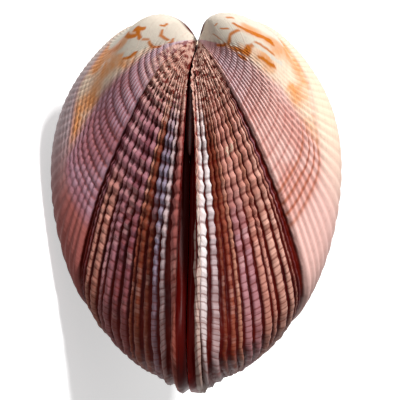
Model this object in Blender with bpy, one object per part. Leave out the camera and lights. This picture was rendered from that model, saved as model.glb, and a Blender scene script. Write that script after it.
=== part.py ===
"""A closed venus clam shell: two ribbed, hollow valves and the ligament between them.

Each valve is grown from its margin.  The margin outline lies in the seam plane and is scaled by a growth
fraction while it turns about the hinge line, so one rule gives the beak, the umbo, the flank and the lip.
Shell directions: "aft" along the hinge to the hind tip, "down" to the ventral edge, "out" from the seam.
"""
import math

import bpy
import numpy as np
from mathutils import Vector
from mathutils.bvhtree import BVHTree

MM = 0.001

# Overall size, millimetres
REACH = 35.4            # beak to hind tip, the unit of the outline below
GAP = 0.30              # space between the two margin faces
WALL = 1.8              # thickness of the valve wall
HINGE_WALL = 3.2        # width of the margin face under the hinge

# Margin outline, (aft, down) in units of REACH, from the beak round the tip and the ventral edge
OUTLINE = [
    (0.00, 0.03), (0.14, 0.05), (0.36, 0.06), (0.70, 0.07), (0.93, 0.08), (0.98, 0.13),
    (0.96, 0.28), (0.80, 0.57), (0.57, 0.81), (0.30, 0.94), (-0.08, 0.93), (-0.23, 0.73),
    (-0.26, 0.44), (-0.15, 0.22), (-0.04, 0.11), (0.00, 0.06),
]

# Growth rule
FLANK_TURN = 53.0       # degrees the half-grown margin stands out from the seam plane
HIND_LIP = 25.0         # how suddenly the skin turns in at the lip behind the groove
FLANK_LIP = 7.0         # and, more gently, on the flank
BEAK_TURN = 115.0       # further degrees the young shell is rolled over at the beak
BEAK_SPREAD = 0.213     # growth fraction over which the roll fades
BEAK_POWER = 0.70
HIND_BULGE = 0.580      # outward scale of the turned margin behind the groove
FLANK_BULGE = 0.693     # and on the flank
UMBO_TURN = 26.9        # degrees more by which the umbo of the flank rolls over towards the hinge
UMBO_AT, UMBO_END = 0.138, 0.506          # growth fractions where that is strongest and where it ends
UMBO_PINCH = 0.095      # how much less the umbo bulges there
BEAK_SKEW = 0.65        # the beaks sit this much to the right valve's side of the seam, millimetres
BEAK_SKEW_RANGE = 2.5   # and within about this distance
CHEEK = 1.7             # how far the widest part of the flank is carried towards the hinge side

# Ligament, the dark strip sunk in the groove behind the beaks
LIGAMENT_FROM, LIGAMENT_TO = 0.07, 0.36   # along the hinge, in units of REACH
LIGAMENT_RISE = 0.55                      # how far its middle sits above the seam, millimetres
LIGAMENT_RADIUS = 0.45                    # at most
LIGAMENT_CLEAR = 0.22                     # space kept to the walls of the groove

# Ribs of the hind area on each valve: (margin place, half width in margin places, height in millimetres)
HIND_RIBS = {
    "right": [
        (0.2865, 0.0080, 0.42), (0.2985, 0.0045, 0.30), (0.3110, 0.0080, 0.45), (0.3280, 0.0075, 0.30),
        (0.3440, 0.0075, 0.35), (0.3575, 0.0060, 0.38), (0.3730, 0.0095, 0.45), (0.3930, 0.0105, 0.42),
        (0.4140, 0.0100, 0.45), (0.4300, 0.0065, 0.38), (0.4490, 0.0110, 0.45), (0.4680, 0.0075, 0.40),
        (0.4795, 0.0040, 0.28), (0.4870, 0.0035, 0.24),
    ],
    "left": [
        (0.2900, 0.0080, 0.38), (0.3100, 0.0100, 0.45), (0.3290, 0.0090, 0.42), (0.3490, 0.0100, 0.34),
        (0.3700, 0.0095, 0.42), (0.3840, 0.0055, 0.36), (0.4010, 0.0110, 0.45), (0.4240, 0.0110, 0.42),
        (0.4460, 0.0110, 0.45), (0.4620, 0.0065, 0.38), (0.4800, 0.0105, 0.45), (0.4970, 0.0070, 0.40),
        (0.5070, 0.0040, 0.28), (0.5135, 0.0030, 0.24),
    ],
}
HIND_FLOOR = 0.45       # depth of the ground between those ribs, millimetres
GROOVE_AT = {"right": 0.4970, "left": 0.5200}   # margin place of the groove before the flank
GROOVE_HALF = 0.0075
GROOVE_DEPTH = 0.30     # below that ground
# How far the hind ribs swing towards the hinge as the shell grows, and the flank ribs away from it
HIND_DRIFT = {"right": 0.008, "left": 0.018}
FLANK_LEAN = 0.18
FLANK_START = 0.010     # first flank rib's foot behind the groove, in margin places
FLANK_END = 0.955
FLANK_RIBS = 36
FLANK_HEIGHT = 0.20

# Attitude: the hinge line leans this much out of the length axis; then the shell rolls onto its left valve
HINGE_LEAN = 34.2
REST_PITCH = 14.0
REST_ROLL = -12.0
WEAR = 0.35             # millimetres rubbed off the rib crests where the flank lies, so it lies still

# Rows of the outer skin, as growth fractions, with how many points go round each of the young rows
ROWS = [
    1.0, 0.998, 0.992, 0.982, 0.965, 0.94, 0.90, 0.84, 0.78, 0.72, 0.66, 0.60, 0.54, 0.47, 0.40, 0.32, 0.24,
]
YOUNG_ROWS = [(0.17, 54), (0.115, 54), (0.07, 28), (0.035, 14)]
INNER_ROWS = [0.97, 0.90, 0.78, 0.60, 0.38, 0.16]
INNER_COLUMNS = 40


def closed_spline(points):
    """Smooth closed curve through the points; the result takes fractions of its whole length."""
    knots = np.array(points, float)
    count = len(knots)
    steps = np.hypot(*np.diff(np.vstack([knots, knots[:1]]), axis=0).T)
    places = np.concatenate([[0.0], np.cumsum(steps)])
    matrix = np.zeros((count, count))
    rhs = np.zeros((count, 2))
    for i in range(count):
        before, after = steps[i - 1], steps[i]
        matrix[i, i - 1] += before
        matrix[i, i] += 2.0 * (before + after)
        matrix[i, (i + 1) % count] += after
        rhs[i] = 6.0 * ((knots[(i + 1) % count] - knots[i]) / after - (knots[i] - knots[i - 1]) / before)
    bends = np.linalg.solve(matrix, rhs)

    def at(u):
        k = np.clip(np.searchsorted(places, u, side="right") - 1, 0, count - 1)
        n = (k + 1) % count
        h = steps[k][:, None]
        p = (places[k + 1] - u)[:, None] / h
        q = (u - places[k])[:, None] / h
        curve = (p ** 3 - p) * bends[k] + (q ** 3 - q) * bends[n]
        return p * knots[k] + q * knots[n] + curve * h ** 2 / 6.0

    fine = np.linspace(0.0, places[-1], 4001)
    line = at(np.minimum(fine, places[-1] - 1e-9))
    length = np.concatenate([[0.0], np.cumsum(np.hypot(*np.diff(line, axis=0).T))])

    def by_length(s):
        return at(np.interp(np.mod(s, 1.0) * length[-1], length, fine))

    return by_length


MARGIN = closed_spline(OUTLINE)


def turn(growth, power):
    """Angle of the margin about the hinge line at a growth fraction, in radians."""
    lip = np.sqrt(np.clip(1.0 - growth ** power, 0.0, 1.0))
    curl = np.exp(-(growth / BEAK_SPREAD) ** BEAK_POWER) - math.exp(-(1.0 / BEAK_SPREAD) ** BEAK_POWER)
    return np.radians(FLANK_TURN * lip + BEAK_TURN * curl)


def smooth(low, high, value):
    """Smooth step from 0 to 1."""
    x = np.clip((value - low) / (high - low), 0.0, 1.0)
    return x * x * (3.0 - 2.0 * x)


def skin(s, growth):
    """Smooth outer skin of a valve, in millimetres: aft, down, out."""
    s, growth = np.broadcast_arrays(np.asarray(s, float), np.asarray(growth, float))
    margin = MARGIN(s.ravel()).reshape(s.shape + (2,))
    flank = smooth(0.42, 0.76, s) * (1.0 - smooth(0.88, 1.0, s))
    rise = np.where(growth < UMBO_AT, UMBO_AT, UMBO_END - UMBO_AT)
    umbo = hump(growth - UMBO_AT, rise) * smooth(0.50, 0.76, s) * (1.0 - smooth(0.93, 1.0, s))
    angle = turn(growth, HIND_LIP + (FLANK_LIP - HIND_LIP) * flank) + math.radians(UMBO_TURN) * umbo
    bulge = HIND_BULGE + (FLANK_BULGE - HIND_BULGE) * flank - UMBO_PINCH * umbo
    aft = growth * margin[..., 0]
    down = growth * margin[..., 1] * np.cos(angle)
    out = growth * margin[..., 1] * np.sin(angle) * bulge
    lean = math.radians(HINGE_LEAN)
    aft = aft + CHEEK * out ** 2 * math.sin(lean)
    down = down - CHEEK * out ** 2 * math.cos(lean)
    return np.stack([aft, down, out], axis=-1) * REACH


def outward(s, growth):
    """Unit normal of the smooth skin."""
    ds, dg = 1e-4, 1e-4
    inner = np.clip(growth - dg, 0.002, 1.0)
    outer = np.clip(growth + dg, 0.004, 1.0 - 1e-6)
    along = skin(s + ds, np.minimum(growth, 1.0 - 1e-5)) - skin(s - ds, np.minimum(growth, 1.0 - 1e-5))
    across = skin(s, outer) - skin(s, inner)
    normal = np.cross(across, along)
    return normal / np.maximum(np.linalg.norm(normal, axis=-1, keepdims=True), 1e-12)


def hump(distance, half_width):
    """Rounded rib section, 1 on its crest and 0 at its foot."""
    x = np.clip(np.abs(distance) / half_width, 0.0, 1.0)
    return 0.5 + 0.5 * np.cos(math.pi * x)


def swing(s, growth, side):
    """How far a rib has moved along the margin at this place and growth."""
    hind = smooth(0.20, 0.28, s) * (1.0 - smooth(0.52, 0.60, s))
    flank = smooth(0.54, 0.72, s) * (1.0 - smooth(0.78, 0.99, s))
    return FLANK_LEAN * (growth - 0.6) * flank - HIND_DRIFT[side] * smooth(0.58, 0.95, growth) * hind


def relief(s, growth, side):
    """Height of ribs and groove, millimetres; the crests lie on the smooth skin."""
    path = s - swing(s, growth, side)
    ribs = HIND_RIBS[side]
    groove = GROOVE_AT[side]
    border = ribs[0][0]
    ground = smooth(border - 0.024, border - 0.006, path) * (1.0 - smooth(groove, groove + GROOVE_HALF, path))
    height = -HIND_FLOOR * ground
    for at, half, tall in ribs:
        height = height + tall * hump(path - at, half)
    height = height - GROOVE_DEPTH * hump(path - groove, GROOVE_HALF)
    height = height * smooth(0.05, 0.30, growth)
    first = groove + FLANK_START
    pitch = (FLANK_END - first) / FLANK_RIBS
    wave = 0.5 + 0.5 * np.cos(2.0 * math.pi * (path - first) / pitch)
    inside = (path > first) & (path < FLANK_END)
    start = 0.14 + 0.20 * smooth(0.58, 0.74, s)
    return height - np.where(inside, wave * FLANK_HEIGHT * smooth(start, start + 0.2, growth), 0.0)


def rib_columns(side):
    """Margin places of the skin's columns: crest and foot of every rib, and a few on the smooth parts."""
    marks = [rib[0] for rib in HIND_RIBS[side]] + [GROOVE_AT[side]]
    places = list(np.linspace(0.0, marks[0] - 0.022, 10))
    places += [marks[0] - 0.011]
    for mark, after in zip(marks, marks[1:]):
        places += [mark, 0.5 * (mark + after)]
    places += [GROOVE_AT[side]]
    first = GROOVE_AT[side] + FLANK_START
    pitch = (FLANK_END - first) / FLANK_RIBS
    places += [first + 0.5 * pitch * i for i in range(2 * FLANK_RIBS + 1)]
    places += list(np.linspace(FLANK_END, 1.0, 4)[1:-1])
    return np.array(places)


def skin_ring(places, growth, side):
    """One row of outer points with the ribs on it, kept clear of the seam plane."""
    g = np.full(len(places), growth)
    s = places
    for _ in range(30):
        s = places + swing(s, g, side)
    points = skin(s, g)
    points = points + outward(s, g) * relief(s, g, side)[:, None]
    if growth == 1.0:
        points[:, 2] = 0.0
    points[:, 2] = np.maximum(points[:, 2], 0.0) + GAP / 2.0
    return points


def stitch(faces, ring_a, ring_b, place_a, place_b):
    """Band of triangles between two closed rings of points."""
    i, j = 0, 0
    total_a, total_b = len(ring_a), len(ring_b)
    while i < total_a or j < total_b:
        next_a = place_a[i + 1] if i + 1 < total_a else place_a[0] + 1.0
        next_b = place_b[j + 1] if j + 1 < total_b else place_b[0] + 1.0
        a, b = ring_a[i % total_a], ring_b[j % total_b]
        if j >= total_b or (i < total_a and next_a <= next_b):
            faces.append((a, b, ring_a[(i + 1) % total_a]))
            i += 1
        else:
            faces.append((a, b, ring_b[(j + 1) % total_b]))
            j += 1


def inner_margin(s):
    """Edge of the hollow on the margin face: the outline stepped inwards."""
    ds = 1e-3
    points = MARGIN(s) * REACH
    tangent = MARGIN(s + ds) - MARGIN(s - ds)
    tangent = tangent / np.linalg.norm(tangent, axis=1, keepdims=True)
    inward = np.stack([-tangent[:, 1], tangent[:, 0]], axis=1)
    near_hinge = 1.0 - smooth(0.24, 0.34, s) + smooth(0.88, 0.96, s)
    return points + inward * (WALL + (HINGE_WALL - WALL) * near_hinge)[:, None]


def hollow_height(tree, aft, down):
    """How far the hollow reaches out at one place, keeping the wall thickness."""
    reach = 0.0
    while reach < 30.0:
        if tree.find_nearest(Vector((aft, down, reach + 0.5)))[3] < WALL:
            break
        reach += 0.5
    return reach


def valve_mesh(side):
    """Points and triangles of one valve in shell directions; the ribs are part of the skin."""
    points, faces = [], []

    def add(ring):
        first = len(points)
        points.extend(tuple(p) for p in ring)
        return list(range(first, first + len(ring)))

    columns = rib_columns(side)
    rings = [(add(skin_ring(columns, g, side)), columns) for g in ROWS]
    for g, count in YOUNG_ROWS:
        s = np.arange(count) / count
        rings.append((add(skin_ring(s, g, side)), s))
    for (ring_a, place_a), (ring_b, place_b) in zip(rings, rings[1:]):
        stitch(faces, ring_b, ring_a, place_b, place_a)
    pole = add([np.array([0.0, 0.0, GAP / 2.0 + 0.02])])[0]
    last = rings[-1][0]
    for i, a in enumerate(last):
        faces.append((a, last[(i + 1) % len(last)], pole))

    tree = BVHTree.FromPolygons([Vector(p) for p in points], faces)
    s_in = np.arange(INNER_COLUMNS) / INNER_COLUMNS
    edge = inner_margin(s_in)
    centre = np.array([0.30 * REACH, 0.45 * REACH])
    inner = [(add(np.column_stack([edge, np.full(INNER_COLUMNS, GAP / 2.0)])), s_in)]
    for radius in INNER_ROWS:
        flat = centre + (edge - centre) * radius
        out = [hollow_height(tree, p[0], p[1]) + GAP / 2.0 for p in flat]
        inner.append((add(np.column_stack([flat, out])), s_in))
    stitch(faces, rings[0][0], inner[0][0], columns, s_in)
    for (ring_a, place_a), (ring_b, place_b) in zip(inner, inner[1:]):
        stitch(faces, ring_a, ring_b, place_a, place_b)
    top = hollow_height(tree, centre[0], centre[1]) + GAP / 2.0
    crown = add([np.array([centre[0], centre[1], top])])[0]
    last = inner[-1][0]
    for i, a in enumerate(last):
        faces.append((a, crown, last[(i + 1) % len(last)]))
    return np.array(points), faces


def ligament_mesh(tree):
    """Tapered round strip lying in the groove, clear of both of its walls."""
    stations, sides = 14, 10
    hinge_s = np.linspace(0.0, 0.25, 400)
    hinge = MARGIN(hinge_s)
    points, faces = [], []
    for k in range(stations + 1):
        t = k / stations
        aft = LIGAMENT_FROM + (LIGAMENT_TO - LIGAMENT_FROM) * t
        seam = np.interp(aft, hinge[:, 0], hinge[:, 1]) * REACH
        middle = Vector((aft * REACH, seam - LIGAMENT_RISE, 0.0))
        room = tree.find_nearest(middle)[3] - LIGAMENT_CLEAR
        taper = math.sqrt(max(0.0, 1.0 - (2.0 * t - 1.0) ** 4))
        radius = max(min(room, LIGAMENT_RADIUS) * taper, 0.02)
        for j in range(sides):
            angle = 2.0 * math.pi * j / sides
            points.append((middle.x, middle.y + radius * math.cos(angle), radius * math.sin(angle)))
    for k in range(stations):
        for j in range(sides):
            a, b = k * sides + j, k * sides + (j + 1) % sides
            faces.append((a, b, b + sides))
            faces.append((a, b + sides, a + sides))
    faces.append(tuple(range(sides))[::-1])
    faces.append(tuple(range(stations * sides, (stations + 1) * sides)))
    return np.array(points), faces


def place(points, side):
    """Shell directions to the lying shell: length along X, out along Z, metres."""
    aft, down = points[:, 0], points[:, 1]
    skew = BEAK_SKEW * np.exp(-(aft ** 2 + down ** 2) / BEAK_SKEW_RANGE ** 2)
    out = points[:, 2] * side + skew
    lean = math.radians(HINGE_LEAN)
    x = aft * math.cos(lean) + down * math.sin(lean)
    y = -aft * math.sin(lean) + down * math.cos(lean)
    pitch, roll = math.radians(REST_PITCH), math.radians(REST_ROLL)
    x, z = x * math.cos(pitch) + out * math.sin(pitch), -x * math.sin(pitch) + out * math.cos(pitch)
    y, z = y * math.cos(roll) - z * math.sin(roll), y * math.sin(roll) + z * math.cos(roll)
    return np.column_stack([x, y, z]) * MM


def material(name, colour, roughness):
    """Plain Principled material."""
    made = bpy.data.materials.new(name)
    made.use_nodes = True
    shader = made.node_tree.nodes["Principled BSDF"]
    shader.inputs["Base Color"].default_value = (*colour, 1.0)
    shader.inputs["Roughness"].default_value = roughness
    return made


def add_object(name, points, faces, made):
    """Mesh object from points and triangles."""
    mesh = bpy.data.meshes.new(name)
    mesh.from_pydata([tuple(p) for p in points], [], faces)
    mesh.update()
    mesh.materials.append(made)
    thing = bpy.data.objects.new(name, mesh)
    bpy.context.collection.objects.link(thing)
    return thing


def main():
    for old in list(bpy.data.objects):
        bpy.data.objects.remove(old)
    right_points, right_faces = valve_mesh("right")
    left_points, left_faces = valve_mesh("left")
    right = place(right_points, 1.0)
    left = place(left_points, -1.0)
    left_faces = [face[::-1] for face in left_faces]
    tree = BVHTree.FromPolygons([Vector(p) for p in right_points], right_faces)
    strip_points, strip_faces = ligament_mesh(tree)
    strip = place(strip_points, 1.0)
    left[:, 2] = np.maximum(left[:, 2], left[:, 2].min() + WEAR * MM)
    everything = np.vstack([right, left])
    low, high = everything.min(axis=0), everything.max(axis=0)
    shift = np.array([(low[0] + high[0]) / 2.0, (low[1] + high[1]) / 2.0, low[2]])
    add_object("left_valve", left - shift, left_faces, material("left_shell", (0.46, 0.26, 0.24), 0.40))
    add_object("right_valve", right - shift, right_faces, material("right_shell", (0.60, 0.36, 0.30), 0.40))
    add_object("ligament", strip - shift, strip_faces, material("ligament", (0.05, 0.012, 0.008), 0.50))


main()
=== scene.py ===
import math
from types import SimpleNamespace

import bpy
import numpy as np
from mathutils import Matrix, Vector


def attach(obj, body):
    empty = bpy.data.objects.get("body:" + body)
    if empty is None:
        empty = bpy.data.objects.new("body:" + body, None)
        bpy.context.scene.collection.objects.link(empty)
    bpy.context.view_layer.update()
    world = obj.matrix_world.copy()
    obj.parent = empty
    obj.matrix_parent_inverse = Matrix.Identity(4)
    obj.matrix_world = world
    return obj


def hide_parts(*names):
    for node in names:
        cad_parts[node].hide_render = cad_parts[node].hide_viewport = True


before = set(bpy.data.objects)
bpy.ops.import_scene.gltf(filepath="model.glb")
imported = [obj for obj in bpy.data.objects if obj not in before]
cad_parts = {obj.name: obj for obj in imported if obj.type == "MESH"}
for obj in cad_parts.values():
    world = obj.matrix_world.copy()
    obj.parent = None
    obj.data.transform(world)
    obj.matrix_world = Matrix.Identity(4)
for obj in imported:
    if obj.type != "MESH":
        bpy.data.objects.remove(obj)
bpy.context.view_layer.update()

bl_info = {
    "name": "Venus Clam Shell",
    "version": (1, 0, 0),
    "blender": (4, 5, 0),
    "location": "View3D > Sidebar > Shell",
    "description": "Grows a closed, ribbed venus clam shell from the outline of its margin",
    "category": "Add Mesh",
}

MM = 0.001

# Size and lean of the shell
REACH = 35.4  # beak to hind tip in millimetres, the unit of the outline
HINGE_LEAN = math.radians(34.2)  # how far the hinge line leans out of the length axis

# Margin outline of a valve, (aft, down) in units of the reach, from the beak round the hind tip
OUTLINE = [
    (0.0, 0.03), (0.14, 0.05), (0.36, 0.06), (0.7, 0.07), (0.93, 0.08), (0.98, 0.13),
    (0.96, 0.28), (0.8, 0.57), (0.57, 0.81), (0.3, 0.94), (-0.08, 0.93), (-0.23, 0.73),
    (-0.26, 0.44), (-0.15, 0.22), (-0.04, 0.11), (0.0, 0.06),
]

# Growth rule: the margin is scaled by the growth fraction and turned about the hinge line
FLANK_TURN = math.radians(53.0)  # out of the seam plane, up to the lip
HIND_LIP, FLANK_LIP = 25.0, 7.0  # how suddenly the skin turns in at the lip
BEAK_TURN = math.radians(115.0)  # further turn of the first growth
BEAK_SPREAD, BEAK_POWER = 0.213, 0.7  # and how it fades with growth
HIND_BULGE, FLANK_BULGE = 0.58, 0.693  # outward scale of the turned margin
UMBO_TURN = math.radians(26.9)  # further turn of the flank's umbo
UMBO_AT, UMBO_END = 0.138, 0.506  # growth fractions where that is greatest and where it ends
UMBO_PINCH = 0.095  # how much less the umbo bulges
CHEEK = 1.7  # how far the widest part of the flank is carried towards the hinge
BEAK_SKEW = 0.65  # millimetres by which the beaks sit to the right valve's side
BEAK_SKEW_RANGE = 2.5  # millimetres from the beaks over which that fades

# Ribs of the hind area on each valve: (margin place, half width in margin places, height in millimetres)
HIND_RIBS = {
    "right": [
        (0.263, 0.014, 0.95), (0.288, 0.0115, 0.42), (0.3115, 0.01, 0.42), (0.3285, 0.0065, 0.3),
        (0.344, 0.0075, 0.35), (0.3575, 0.006, 0.38), (0.373, 0.0095, 0.45), (0.393, 0.0105, 0.42),
        (0.414, 0.01, 0.45), (0.43, 0.0065, 0.38), (0.449, 0.011, 0.45), (0.468, 0.0075, 0.4),
        (0.4795, 0.004, 0.28), (0.487, 0.0035, 0.24),
    ],
    "left": [
        (0.28, 0.018, 0.5), (0.3125, 0.0085, 0.42), (0.33, 0.0085, 0.42), (0.349, 0.0095, 0.34),
        (0.37, 0.0095, 0.42), (0.384, 0.0055, 0.36), (0.401, 0.011, 0.45), (0.424, 0.011, 0.42),
        (0.446, 0.011, 0.45), (0.462, 0.0065, 0.38), (0.48, 0.0105, 0.45), (0.497, 0.007, 0.4),
        (0.507, 0.004, 0.28), (0.5135, 0.003, 0.24),
    ],
}
HIND_FLOOR = 0.45  # depth of the ground between those ribs, millimetres
ROUNDNESS = 0.42  # how full ribs and beads are in section; less is fuller
# Groove between the hind area and the flank, as a margin place, and its half width and depth
GROOVE_AT = {"right": 0.497, "left": 0.52}
GROOVE_HALF = 0.0075
GROOVE_DEPTH = 0.2
# How far the hind ribs swing towards the hinge as the shell grows, and the flank ribs away from it
HIND_DRIFT = {"right": 0.008, "left": 0.018}
FLANK_LEAN = 0.18
# Fine ribs of the flank: how far behind the groove they start, the margin place where they end, how many
# there would be at the spacing of the first, and how many more there are as they crowd
FLANK_START = 0.005
FLANK_END = 0.955
FLANK_RIBS, FLANK_CROWD = 36.0, 14.0
KNOT_HEIGHT = {"right": 0.17, "left": 0.28}  # of the knots on the fine ribs, millimetres

# Marks on the skin: the points of each as (margin place, age), and its half width in margin places
MARKS = {
    "brown": {
        "right": [
            ([(0.76, 0.32), (0.74, 0.36), (0.74, 0.48)], 0.007),
            ([(0.73, 0.32), (0.7, 0.26), (0.64, 0.2)], 0.005),
            ([(0.59, 0.13), (0.64, 0.18), (0.63, 0.23)], 0.005),
            ([(0.64, 0.24), (0.65, 0.3), (0.68, 0.34)], 0.007),
            ([(0.68, 0.34), (0.71, 0.4), (0.71, 0.48)], 0.0045), ([(0.73, 0.23), (0.73, 0.27)], 0.005),
            ([(0.76, 0.2), (0.77, 0.22)], 0.004), ([(0.79, 0.32), (0.79, 0.36)], 0.0045),
            ([(0.69, 0.15), (0.65, 0.17)], 0.004), ([(0.67, 0.38), (0.68, 0.48)], 0.005),
            ([(0.62, 0.24), (0.63, 0.28)], 0.006),
        ],
        "left": [
            ([(0.76, 0.46), (0.74, 0.4), (0.73, 0.36)], 0.0065), ([(0.76, 0.39), (0.75, 0.33)], 0.008),
            ([(0.75, 0.36), (0.71, 0.33)], 0.0075), ([(0.76, 0.24), (0.76, 0.22), (0.78, 0.21)], 0.006),
            ([(0.73, 0.22), (0.69, 0.21), (0.64, 0.14)], 0.005),
            ([(0.68, 0.26), (0.64, 0.21), (0.62, 0.16)], 0.005),
            ([(0.62, 0.13), (0.61, 0.11), (0.65, 0.12)], 0.0045), ([(0.68, 0.39), (0.66, 0.31)], 0.006),
            ([(0.7, 0.31), (0.69, 0.27)], 0.004), ([(0.75, 0.6), (0.74, 0.48)], 0.0065),
        ],
    },
    "orange": {
        "right": [
            ([(0.75, 0.38), (0.74, 0.48), (0.73, 0.6), (0.71, 0.65)], 0.018),
            ([(0.74, 0.34), (0.74, 0.4)], 0.009), ([(0.66, 0.3), (0.68, 0.46)], 0.013),
        ],
        "left": [
            ([(0.74, 0.64), (0.75, 0.56), (0.74, 0.44)], 0.021), ([(0.75, 0.39), (0.74, 0.35)], 0.012),
            ([(0.7, 0.56), (0.69, 0.48)], 0.012),
        ],
    },
    "white": {
        "right": [
            ([(0.7, 0.38), (0.7, 0.53)], 0.006), ([(0.39, 0.39), (0.41, 0.39)], 0.0045),
        ],
        "left": [
            ([(0.71, 0.42), (0.7, 0.34)], 0.006), ([(0.69, 0.4), (0.66, 0.27)], 0.006),
        ],
    },
}
# Reach over which a mark is felt, in margin places, and how soft its edge is
MARK_REACH = {"brown": 0.01, "orange": 0.03, "white": 0.01}
MARK_SOFTNESS = {"brown": 0.003, "orange": 0.013, "white": 0.003}
AGE_SPAN = 0.67  # margin places that one unit of age spans where the marks are

# Boundary between the rosy and the amber part of the flank, as margin places against age
ROSY_TRACK = [(0.0, 0.61), (0.3, 0.63), (0.5, 0.65), (0.7, 0.62), (1.0, 0.6)]

# Ribs that end in a lobe at the hind tip: (margin place, half width in margin places, length in millimetres)
TIP_LOBES = {
    "right": [(0.24, 0.03, 0.75), (0.295, 0.02, 0.45)],
    "left": [(0.265, 0.03, 0.75), (0.31, 0.015, 0.25)],
}

# Growth fractions against the share of the rows from beak to margin: even steps along the skin
ROW_TRACK = [
    (0.0, 0.02), (0.04, 0.05), (0.14, 0.16), (0.28, 0.32), (0.42, 0.49), (0.56, 0.65), (0.68, 0.78),
    (0.78, 0.88), (0.86, 0.945), (0.93, 0.98), (0.97, 0.994), (1.0, 1.0),
]
# Margin places against the share of the columns: most of them cross the ribs of the hind area
COLUMN_TRACK = [(0.0, 0.0), (0.04, 0.265), (0.415, 0.53), (0.975, 0.955), (1.0, 1.0)]
# Beads along a rib, and the share of them counted off against age
BEADS = 36.0
BEAD_TRACK = [
    (0.0, 0.0), (0.1, 0.09), (0.25, 0.24), (0.45, 0.36), (0.6, 0.46), (0.75, 0.6), (0.85, 0.72), (1.0, 1.0),
]
# Depth of the notches between beads, as a share of the rib's height, against growth
NOTCH_TRACK = [
    (0.0, 0.2), (0.12, 0.38), (0.45, 0.38), (0.6, 0.32), (0.75, 0.26), (0.88, 0.2), (1.0, 0.14),
]
SEAM_RIBS = 0.3005  # the ribs before this margin place run beside the seam
# How much further on the colour bands and beads are than the growth lines, against margin place
CLIMB_TRACK = [
    (0.0, 0.0), (0.58, 0.0), (0.62, 0.2), (0.66, 0.45), (0.7, 0.57), (0.74, 0.72), (0.8, 0.6), (0.9, 0.3),
    (1.0, 0.0),
]
# Over the lip of the hind tip the ribs run on beside the seam: their margin place against how far the
# skin stands out, in steps of LIP_REACH millimetres
LIP_REACH = 16.0
LIP_TRACK = [(0.0, 0.22), (0.06, 0.25), (0.1, 0.28), (0.16, 0.3), (0.35, 0.36), (0.6, 0.45), (1.0, 0.62)]

# How far down the seam lies under the ligament, against the distance aft, both in units of the reach
SEAM_TRACK = [(0.0, 0.035), (0.14, 0.048), (0.36, 0.058), (1.0, 0.06)]

# Camera: the point it looks at, how far it stands, its azimuth, elevation and roll, and its lens
CAMERA_AIM = (0.00092, -0.00369, 0.01479)
CAMERA_AWAY = 0.177
CAMERA_TURNS = (-94.23, 16.93, 75.9)
CAMERA_LENS = 153.0

# Lamps: name, direction from the shell (to the camera's right, up, towards it), watts, size in metres
LAMPS = [
    ("key", (0.56, 0.67, 0.49), 4.2, 0.1),
    ("fill", (-0.38, 0.91, 0.15), 1.0, 0.5),
    ("back", (-0.2, 0.5, -0.85), 0.9, 0.5),
]
WORLD_LIGHT = 0.2
SHELL_MIDDLE = (0.0, 0.0, 0.015)  # where the lamps point
LAMP_AWAY = 0.6  # metres from there to each lamp


# ---- Small tools for node trees ----


def arithmetic(kind, turned=False):
    """An operator of fields, with its two sides turned round if the field comes second."""
    def operator(self, other):
        if turned:
            return number(self.tree, other).math(kind, self)
        return self.math(kind, other)
    return operator


class Field:
    """A number in a node tree; arithmetic on it adds the nodes that work it out."""

    def __init__(self, tree, socket):
        self.tree = tree
        self.socket = socket

    def math(self, kind, *others):
        """The field put through a math node with other values."""
        node = self.tree.nodes.new("ShaderNodeMath")
        node.operation = kind
        for slot, value in zip(node.inputs, (self,) + others):
            join(self.tree, value, slot)
        return Field(self.tree, node.outputs[0])

    __add__ = __radd__ = arithmetic("ADD")
    __mul__ = __rmul__ = arithmetic("MULTIPLY")
    __sub__, __rsub__ = arithmetic("SUBTRACT"), arithmetic("SUBTRACT", turned=True)
    __truediv__, __rtruediv__ = arithmetic("DIVIDE"), arithmetic("DIVIDE", turned=True)
    __pow__ = arithmetic("POWER")

    def __neg__(self):
        return self * -1.0

    def smooth(self, low, high):
        """Smooth step from 0 at low to 1 at high."""
        node = self.tree.nodes.new("ShaderNodeMapRange")
        node.interpolation_type = "SMOOTHSTEP"
        join(self.tree, self, node.inputs["Value"])
        join(self.tree, low, node.inputs["From Min"])
        join(self.tree, high, node.inputs["From Max"])
        return Field(self.tree, node.outputs["Result"])

    def fade(self, low, high):
        """Smooth step from 1 at low to 0 at high."""
        return 1.0 - self.smooth(low, high)

    def near(self, centre, half):
        """Rounded hump, 1 at the centre and 0 at half away."""
        away = ((self - centre).math("ABSOLUTE") / half).math("MINIMUM", 1.0)
        return (away * math.pi).math("COSINE") * 0.5 + 0.5

    def track(self, points, soft=False):
        """Curve through the points, which run from 0 to 1 both ways."""
        node = self.tree.nodes.new("ShaderNodeFloatCurve")
        line = node.mapping.curves[0]
        while len(line.points) < len(points):
            line.points.new(0.5, 0.5)
        for point, (x, y) in zip(line.points, points):
            point.location = (x, y)
            point.handle_type = "AUTO" if soft else "VECTOR"
        node.mapping.update()
        join(self.tree, self, node.inputs["Value"])
        return Field(self.tree, node.outputs["Value"])


def number(tree, value):
    """A constant as a field."""
    if isinstance(value, Field):
        return value
    node = tree.nodes.new("ShaderNodeMath")
    node.inputs[0].default_value = value
    node.inputs[1].default_value = 0.0
    return Field(tree, node.outputs[0])


def join(tree, value, slot):
    """Link a field or a socket to an input, or set the input to a plain value."""
    if isinstance(value, Field):
        tree.links.new(value.socket, slot)
    elif isinstance(value, bpy.types.NodeSocket):
        tree.links.new(value, slot)
    else:
        slot.default_value = value


def add_node(tree, kind, inputs=None, **settings):
    """A node with its settings and its named or numbered inputs."""
    node = tree.nodes.new(kind)
    for name, value in settings.items():
        setattr(node, name, value)
    for name, value in (inputs or {}).items():
        join(tree, value, node.inputs[name])
    return node


def vector(tree, x, y, z):
    """A place or direction from three numbers."""
    return add_node(tree, "ShaderNodeCombineXYZ", {0: x, 1: y, 2: z}).outputs[0]


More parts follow.
